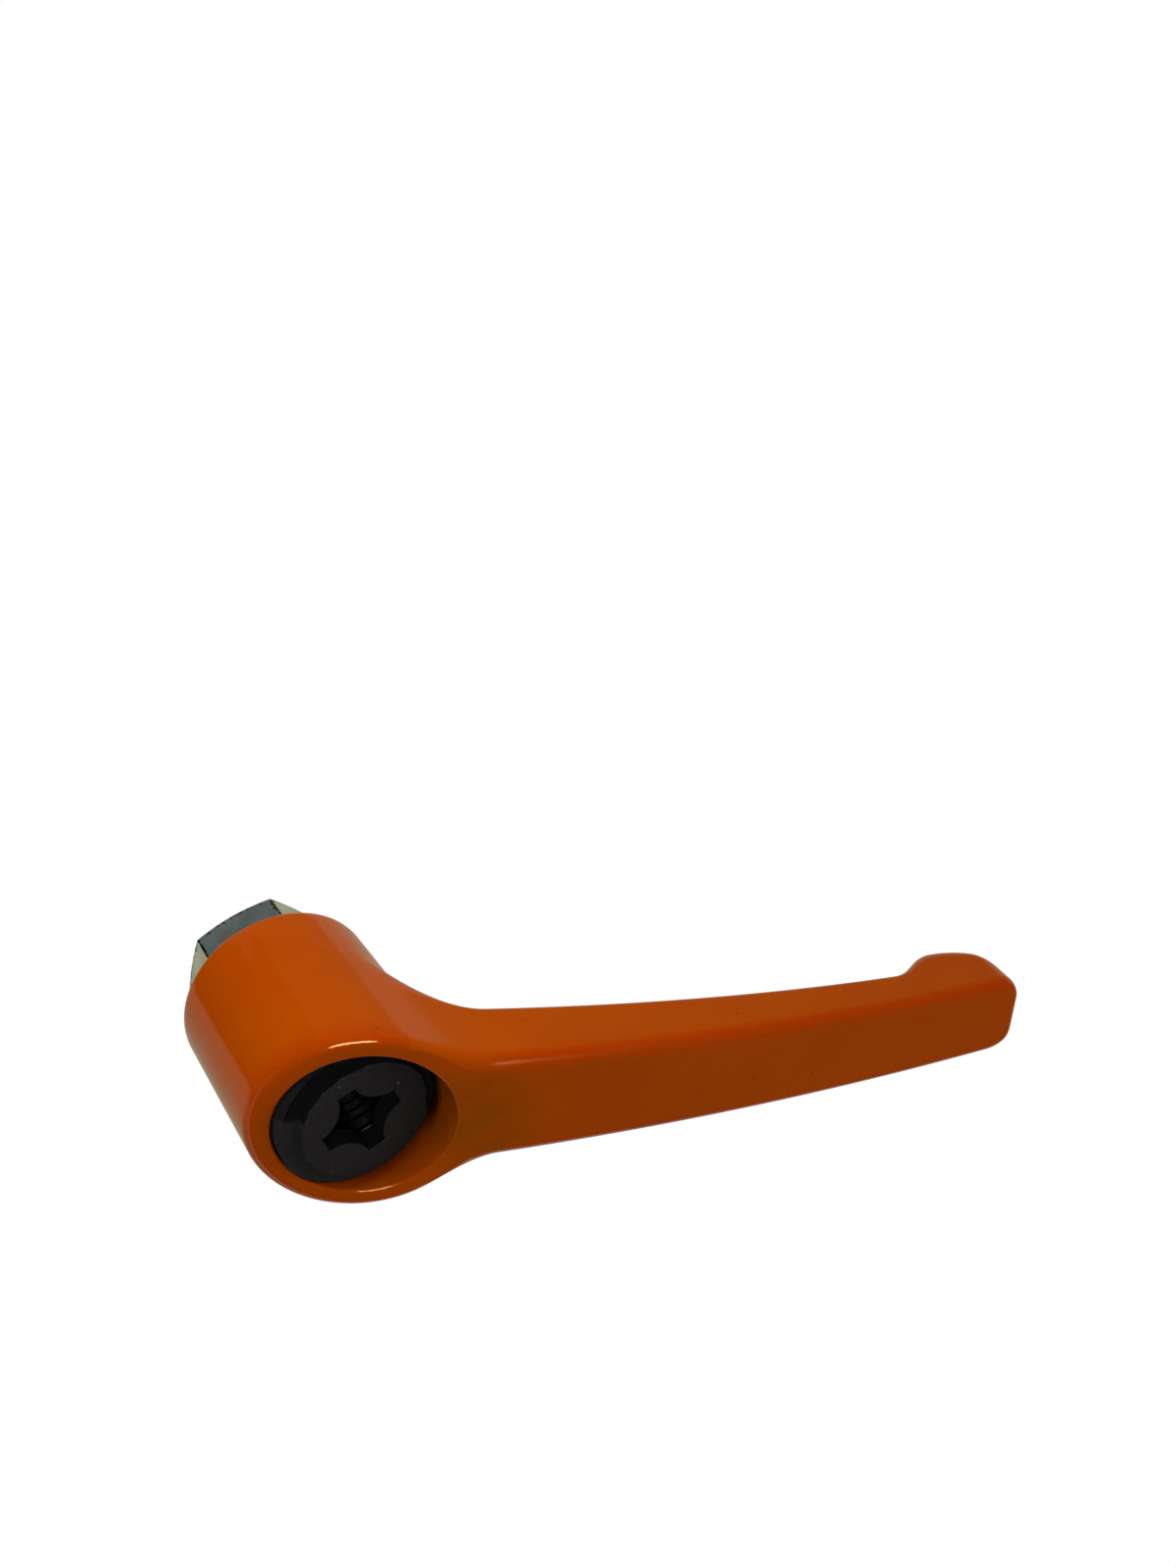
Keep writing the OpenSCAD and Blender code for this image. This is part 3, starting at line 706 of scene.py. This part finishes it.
plating = zincPlatedSteel(zincPlate)
shadedBoreSteel = tappedSteel(tappedBore)
steelInsert = makePiece("steel_insert", insertSkin(insert), plating, "insert", insert["sharpDeg"])
steelInsert.data.materials.append(shadedBoreSteel)
for face in steelInsert.data.polygons:
    if math.hypot(face.center.x, face.center.y) < (insert["boreR"] + insert["countersink"]) * mm:
        face.material_index = 1
softEdge = steelInsert.modifiers.new("plated_edges", "BEVEL")
softEdge.width = insert["edgeBevel"] * mm
softEdge.segments = insert["edgeSegments"]
softEdge.limit_method = "ANGLE"
softEdge.angle_limit = math.radians(insert["sharpDeg"])
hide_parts("threaded_insert")
ridge = makePiece("insert_thread", threadSkin(thread, insert), shadedBoreSteel, "insert", thread["sharpDeg"])
print("insert and thread built")

# Black moulded plastic: matt, slightly brown, with mould grain and specks of dust, and near-black painted
# shade in its hollows

blackPlastic = {
    "colour": "#201E1D",
    "worn": "#2B2928",
    "grainMm": 0.25,         # drawn coarser than the real mould grain
    "grainStops": (0.35, 0.7),
    "grainDepthMm": 0.05,
    "grainStrength": 0.3,
    "dust": "#8A8682",
    "dustEveryMm": 1.6,
    "dustR": (0.04, 0.09),   # in spacings, where a speck is full and where it ends
    "dustStrength": 0.8,
    "dustFrom": 0.45,        # only cells whose random number is higher hold a speck
    # near black for the painted shade in the hollows
    "shadeBlack": "#010101",
    "roughness": 0.68,
    "shadeRoughness": 1.0,    # where shade is painted the plastic is also fully rough
    "specular": 0.05,
}


def mouldedPlastic(look):
    material, tree, shader, place = newMaterial("black_moulded_plastic", {
        "Specular IOR Level": look["specular"]})
    grain = addNode(tree, "ShaderNodeTexNoise", inputs={
        "Vector": place, "Scale": 1 / (look["grainMm"] * mm), "Detail": 3.0})
    tone = addNode(tree, "ShaderNodeValToRGB", inputs={"Fac": grain.outputs["Fac"]})
    setRamp(tone, look["grainStops"], (look["colour"], look["worn"]))
    specks = addNode(tree, "ShaderNodeTexVoronoi", {"feature": "F1"}, {
        "Vector": place, "Scale": 1 / (look["dustEveryMm"] * mm)})
    dust = addNode(tree, "ShaderNodeMapRange", inputs={
        "Value": specks.outputs["Distance"],
        "From Min": look["dustR"][0], "From Max": look["dustR"][1],
        "To Min": look["dustStrength"], "To Max": 0.0})
    pick = addNode(tree, "ShaderNodeSeparateColor", inputs={"Color": specks.outputs["Color"]})
    kept = addNode(tree, "ShaderNodeMath", {"operation": "GREATER_THAN"}, {
        0: pick.outputs["Red"], 1: look["dustFrom"]})
    dust = addNode(tree, "ShaderNodeMath", {"operation": "MULTIPLY"}, {
        0: dust.outputs["Result"], 1: kept.outputs[0]})
    skin = addNode(tree, "ShaderNodeMix", {"data_type": "RGBA"}, {
        0: dust.outputs[0], 6: tone.outputs["Color"], 7: toLinear(look["dust"])})
    # painted shade: near black in the sunk arc, on the lip outside it and on the recess's walls
    paintedShade = addNode(tree, "ShaderNodeAttribute", {"attribute_name": "paintedShade"})
    skin = addNode(tree, "ShaderNodeMix", {"data_type": "RGBA"}, {
        0: paintedShade.outputs["Fac"], 6: skin.outputs[2], 7: toLinear(look["shadeBlack"])})
    tree.links.new(skin.outputs[2], shader.inputs["Base Color"])
    dull = addNode(tree, "ShaderNodeMapRange", inputs={
        "Value": paintedShade.outputs["Fac"], "To Min": look["roughness"], "To Max": look["shadeRoughness"]})
    tree.links.new(dull.outputs["Result"], shader.inputs["Roughness"])
    bump = addNode(tree, "ShaderNodeBump", inputs={
        "Height": grain.outputs["Fac"], "Strength": look["grainStrength"],
        "Distance": look["grainDepthMm"] * mm})
    tree.links.new(bump.outputs["Normal"], shader.inputs["Normal"])
    return material


# Retaining cap: raised face with a cross recess, a sunk arc round it and a bevelled flange

cap = {
    "faceZ": 35.2, "ringZ": 34.2, "flangeLow": 30.8, "skirtLow": 27.8, "plateLow": 32.4,
    "faceR": 7.7, "flangeR": 9.6, "bevel": 0.5, "skirtIn": 6.55, "skirtOut": 7.35,
    "reliefOut": 9.15, "reliefDepth": 1.0, "reliefFrom": -20, "reliefTo": 163, "reliefEndDeg": 2.5,
    "crossL": 9.4, "crossW": 2.2, "crossClear": 3.1, "crossTurn": 20,
    "stepR": 6.1, "stepDrop": 0.06, "stepW": 0.35,     # faint moulded step on the face
    # roundings: of most edges, the relief's lip and the bevel's lower edge, and the middle of a rounding
    "edgeR": 0.12, "lipR": 0.1, "lipEdge": 0.02, "bevelEdge": (0.05, 0.06), "midShare": 0.3,
    # the face's edge was cut unevenly, in long and short waves, a little inwards
    "ragged": 0.14, "waveDeg": 7, "shortWaveDeg": 2.5, "shortShare": 0.5, "cutIn": 0.4,
    "flatDeg": 140, "flatDrop": 0.6,          # deeper on one side
    "wideDeg": 5, "wideBy": 0.5,              # and less on the other
    "crossWaveDeg": 4, "crossRagged": 0.3,    # the recess's edge wanders less
    "arcWanderDeg": 0.8,
    "arcShade": 0.9, "lipShade": 0.65,          # painted shade in the sunk arc and on the lip outside it
    "armCols": 20, "lobeCols": 70, "seed": 7, "sharpDeg": 32,
}


def unevenEdge(rng, deg, stepDeg):
    # seeded wander round the edge, from -1 to 1
    knots = int(360 / stepDeg)
    values = rng.uniform(-1, 1, knots)
    return np.interp(deg % 360, np.arange(knots + 1) * 360 / knots, np.append(values, values[0]))


def crossRing(d):
    # angles and radii of one turn of the cross: straight ends and rounded lobes between the arms
    end = math.degrees(math.atan(d["crossW"] / d["crossL"]))
    local = np.concatenate((np.linspace(-end, end, d["armCols"], endpoint=False),
                            np.linspace(end, 90 - end, d["lobeCols"], endpoint=False)))
    deg = (90 * np.arange(4)[:, None] + local).ravel() + d["crossTurn"]
    lobe = (d["crossClear"] / math.sqrt(2) - d["crossW"] / 2) / (1 - 1 / math.sqrt(2))
    lobeD = d["crossClear"] + lobe
    off = np.radians(local - 45)
    lobeQ = lobeD * np.cos(off) - np.sqrt(np.maximum(0, lobe ** 2 - (lobeD * np.sin(off)) ** 2))
    endQ = d["crossL"] / 2 / np.cos(np.radians(local))
    return deg, np.tile(np.where(np.abs(local) <= end, endQ, lobeQ), 4)


def capSkin(d):
    rng = np.random.RandomState(d["seed"])
    deg, crossQ = crossRing(d)
    wander = unevenEdge(rng, deg, d["waveDeg"]) + d["shortShare"] * unevenEdge(rng, deg, d["shortWaveDeg"])
    crossQ = crossQ + d["crossRagged"] * d["ragged"] * unevenEdge(rng, deg, d["crossWaveDeg"])
    flatSide = np.cos(np.radians(deg - d["flatDeg"])).clip(0)
    wideSide = np.cos(np.radians(deg - d["wideDeg"])).clip(0)
    discQ = d["faceR"] + d["ragged"] * (wander - d["cutIn"])
    discQ = discQ - d["flatDrop"] * flatSide + d["wideBy"] * wideSide
    # 1 inside the sunk arc, 0 outside it
    turn = (deg - d["reliefFrom"] + d["arcWanderDeg"] * wander) % 360
    sunk = np.clip(np.minimum(turn, d["reliefTo"] - d["reliefFrom"] - turn) / d["reliefEndDeg"], 0, 1)
    floor = d["ringZ"] - d["reliefDepth"] * sunk
    bevelIn = d["flangeR"] - d["bevel"]
    bevelLow = d["ringZ"] - d["bevel"]
    lipZ = d["ringZ"] - (d["reliefOut"] - bevelIn)
    stepZ = d["faceZ"] - d["stepDrop"]
    e = d["edgeR"]
    mid = d["midShare"]
    arcShade = d["arcShade"] * sunk
    lipShade = d["lipShade"] * sunk
    # radius, height and painted shade of each row, from the recess's edge outwards, down and back up the
    # recess
    rows = [
        (crossQ + e, d["faceZ"], 0),
        (d["stepR"] - d["stepW"], d["faceZ"], 0),
        (d["stepR"], d["faceZ"] - mid * d["stepDrop"], 0),
        (d["stepR"] + d["stepW"], stepZ, 0),
        (discQ - e, stepZ, 0),
        (discQ - mid * e, stepZ - mid * e, 0),
        (discQ, stepZ - e, arcShade),
        (discQ, floor + e, arcShade),
        (discQ + e, floor, arcShade),
        (bevelIn + (d["reliefOut"] - bevelIn - d["lipR"]) * sunk, floor, arcShade),
        (d["reliefOut"], np.minimum(floor + d["lipR"], lipZ), lipShade),
        (d["reliefOut"] + d["lipEdge"], lipZ - d["lipEdge"], lipShade),
        (d["flangeR"] - d["bevelEdge"][0], bevelLow + d["bevelEdge"][1], lipShade),
        (d["flangeR"], bevelLow - d["bevelEdge"][1], lipShade),
        (d["flangeR"], d["flangeLow"] + e, 0),
        (d["flangeR"] - e, d["flangeLow"], 0),
        (d["skirtOut"], d["flangeLow"], 0),
        (d["skirtOut"], d["skirtLow"] + e, 0),
        (d["skirtOut"] - e, d["skirtLow"], 0),
        (d["skirtIn"], d["skirtLow"], 0),
        (d["skirtIn"], d["plateLow"], 0),
        (crossQ, d["plateLow"], 1),
        (crossQ, d["faceZ"] - e, 1),
    ]
    points = np.concatenate([turnRow(q, z, deg) for q, z, dark in rows])
    paintedShade = np.concatenate([dark + np.zeros(len(deg)) for q, z, dark in rows])
    rowIds = [[i * len(deg) + j for j in range(len(deg))] for i in range(len(rows))]
    return points, gridFaces(rowIds, True), {"paintedShade": paintedShade}


plasticCap = makePiece("plastic_cap", capSkin(cap), mouldedPlastic(blackPlastic), "insert", cap["sharpDeg"])
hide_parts("retaining_cap")
print("cap moulded")

# Spring steel: drawn wire, bright grey with faint darker streaks

springWire = {
    "colour": "#9A9C9E",
    "dark": "#6E7072",
    "drawMm": 0.6,
    "drawStops": (0.3, 0.65),
    "roughness": 0.35,
}


def springSteel(look):
    material, tree, shader, place = newMaterial("drawn_spring_steel", {
        "Metallic": 1.0, "Roughness": look["roughness"]})
    draw = addNode(tree, "ShaderNodeTexNoise", inputs={
        "Vector": place, "Scale": 1 / (look["drawMm"] * mm), "Detail": 3.0})
    tone = addNode(tree, "ShaderNodeValToRGB", inputs={"Fac": draw.outputs["Fac"]})
    setRamp(tone, look["drawStops"], (look["dark"], look["colour"]))
    tree.links.new(tone.outputs["Color"], shader.inputs["Base Color"])
    return material


# Spring: coiled between the web and the cap's flange, with closed end turns

spring = {
    "wireD": 1.3, "coilD": 16.6, "turns": 3.5, "closedTurns": 0.75, "closedRise": 0.455,
    "sides": 14, "perTurn": 48, "liftMm": 5, "sharpDeg": 50,
}
springLow, springHigh = (corner.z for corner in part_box("compression_spring"))


def springSkin(d):
    wireR = d["wireD"] / 2
    rise = springHigh / mm - springLow / mm - d["wireD"]
    steps = int(d["turns"] * d["perTurn"])
    turns = np.arange(steps + 1) / d["perTurn"]
    knots = (0, d["closedTurns"], d["turns"] - d["closedTurns"], d["turns"])
    z = springLow / mm + wireR
    z = z + np.interp(turns, knots, (0, d["closedRise"], rise - d["closedRise"], rise))
    around = 2 * math.pi * np.arange(d["sides"]) / d["sides"]
    q = d["coilD"] / 2 + wireR * np.cos(around)
    a = 2 * math.pi * turns[:, None]
    points = np.stack((q * np.cos(a), q * np.sin(a), z[:, None] + wireR * np.sin(around)), axis=2)
    ids = [[i * d["sides"] + k for k in range(d["sides"])] for i in range(steps + 1)]
    faces = [tuple(reversed(f)) for f in gridFaces(ids, False)]
    faces.append(tuple(ids[0]))
    faces.append(tuple(reversed(ids[-1])))
    return points.reshape(-1, 3), faces, {}


coil = makePiece("wire_spring", springSkin(spring), springSteel(springWire), "lift", spring["sharpDeg"])
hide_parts("compression_spring")
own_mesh(coil)
print("spring wound")

# Studio: pale floor well below the part, a soft key from the picture's top, a fill from the right, a
# strip that draws the glint on the rim, and grey cards that only the gloss sees, so it doesn't go milky

studio = {
    "floorZ": -0.22, "floorSize": 8, "floorColour": "#FFFFFF", "worldStrength": 0.47,
    "aim": (0.02, 0, 0.03),
    "keySpot": (-0.027, 0.11, 0.026), "keySize": (0.05, 0.05), "keyPower": 0.059,
    "fillSpot": (0.47, 0.18, 0.38), "fillSize": (0.3, 0.3), "fillPower": 0.72,
    "stripEnds": ((-0.24, 0.262, 0.35), (-0.06, 0.195, 0.35)), "stripWidth": 0.11, "stripPower": 4.4,
}

# colour and corners in m; the shade has a notch over the pale card, which the hexagon's flat reflects
cards = {
    "tableCard": ("#AEAF98", (
        (-3, -3, -0.19), (3, -3, -0.19), (3, 3, -0.19), (-3, 3, -0.19))),
    "roomCard": ("#72755C", (
        (-3, -0.88, -0.18), (3, 0.9, -0.18), (3, 3, -0.18), (-3, 3, -0.18))),
    "shadeCard": ("#181818", (
        (-3, -0.872, -0.175), (-0.07, -0.006, -0.175), (-0.07, 0.148, -0.175), (-0.008, 0.148, -0.175),
        (-0.033, 0.186, -0.175), (-0.24, 0.5, -0.175), (-3, 3, -0.175))),
    "paleCard": ("#717A80", (
        (-0.07, 0.02, -0.175), (0.012, 0.02, -0.175), (0.012, 0.148, -0.175), (-0.07, 0.148, -0.175))),
    "backCard": ("#404040", (
        (-3, 1, -0.18), (3, 1, -0.18), (3, 1, 0.5), (-3, 1, 0.5))),
    "topCard": ("#404040", (
        (-3, -2, 0.45), (3, -2, 0.45), (3, 2, 0.45), (-3, 2, 0.45))),
}


def addLamp(name, spot, aim, size, power, along=None):
    # size is (length, width); the length runs along the given direction
    data = bpy.data.lights.new(name, "AREA")
    data.shape = "RECTANGLE" if along else "ELLIPSE"
    data.size, data.size_y = size
    data.energy = power
    lamp = bpy.data.objects.new(name, data)
    back = (Vector(spot) - Vector(aim)).normalized()
    side = Vector(along or (1, 0, 0))
    side = (side - side.dot(back) * back).normalized()
    turn = Matrix((side, back.cross(side), back)).transposed().to_4x4()
    lamp.matrix_world = Matrix.Translation(spot) @ turn
    lamp.visible_camera = False
    bpy.context.scene.collection.objects.link(lamp)
    return lamp


def addSheet(name, corners, material):
    mesh = bpy.data.meshes.new(name)
    mesh.from_pydata(corners, [], [tuple(range(len(corners)))])
    mesh.materials.append(material)
    sheet = bpy.data.objects.new(name, mesh)
    bpy.context.scene.collection.objects.link(sheet)
    return sheet


def whiteWhenSeen(tree, plain, output):
    # white to the camera and in reflections; the plain shader does the lighting and takes the shadow
    path = addNode(tree, "ShaderNodeLightPath")
    seen = addNode(tree, "ShaderNodeMath", {"operation": "ADD", "use_clamp": True}, {
        0: path.outputs["Is Camera Ray"], 1: path.outputs["Is Glossy Ray"]})
    seen = addNode(tree, "ShaderNodeMath", {"operation": "ADD", "use_clamp": True}, {
        0: seen.outputs[0], 1: path.outputs["Is Transmission Ray"]})
    glow = addNode(tree, "ShaderNodeEmission", inputs={"Strength": 1.0})
    mix = addNode(tree, "ShaderNodeMixShader", inputs={
        0: seen.outputs[0], 1: plain.outputs[0], 2: glow.outputs[0]})
    addNode(tree, output, inputs={"Surface": mix.outputs[0]})


def addFloor(d):
    paper = bpy.data.materials.new("white_paper")
    paper.use_nodes = True
    paper.node_tree.nodes.clear()
    plain = addNode(paper.node_tree, "ShaderNodeBsdfDiffuse", inputs={"Color": toLinear(d["floorColour"])})
    whiteWhenSeen(paper.node_tree, plain, "ShaderNodeOutputMaterial")
    half = d["floorSize"] / 2
    z = d["floorZ"]
    addSheet("floor", [(-half, -half, z), (half, -half, z), (half, half, z), (-half, half, z)], paper)


def addCard(name, colour, corners):
    card = bpy.data.materials.new(name)
    card.use_nodes = True
    card.node_tree.nodes.clear()
    dim = addNode(card.node_tree, "ShaderNodeEmission", inputs={"Color": toLinear(colour)})
    addNode(card.node_tree, "ShaderNodeOutputMaterial", inputs={"Surface": dim.outputs[0]})
    sheet = addSheet(name, corners, card)
    # only the gloss sees the cards
    sheet.visible_camera = False
    sheet.visible_diffuse = False
    sheet.visible_transmission = False
    sheet.visible_shadow = False


def addLight(d):
    world = bpy.data.worlds.new("studio")
    world.use_nodes = True
    world.node_tree.nodes.clear()
    sky = addNode(world.node_tree, "ShaderNodeBackground", inputs={
        "Color": (1, 1, 1, 1), "Strength": d["worldStrength"]})
    whiteWhenSeen(world.node_tree, sky, "ShaderNodeOutputWorld")
    bpy.context.scene.world = world
    key = addLamp("key", d["keySpot"], d["aim"], d["keySize"], d["keyPower"])
    fill = addLamp("fill", d["fillSpot"], d["aim"], d["fillSize"], d["fillPower"])
    key.visible_glossy = False
    fill.visible_glossy = False
    left, right = (Vector(end) for end in d["stripEnds"])
    size = ((right - left).length, d["stripWidth"])
    strip = addLamp("strip", (left + right) / 2, d["aim"], size, d["stripPower"], right - left)
    strip.visible_diffuse = False


addFloor(studio)
for cardName, (cardColour, cardCorners) in cards.items():
    addCard(cardName, cardColour, cardCorners)
addLight(studio)
bpy.context.scene.view_settings.view_transform = "Standard"
print("studio lit")
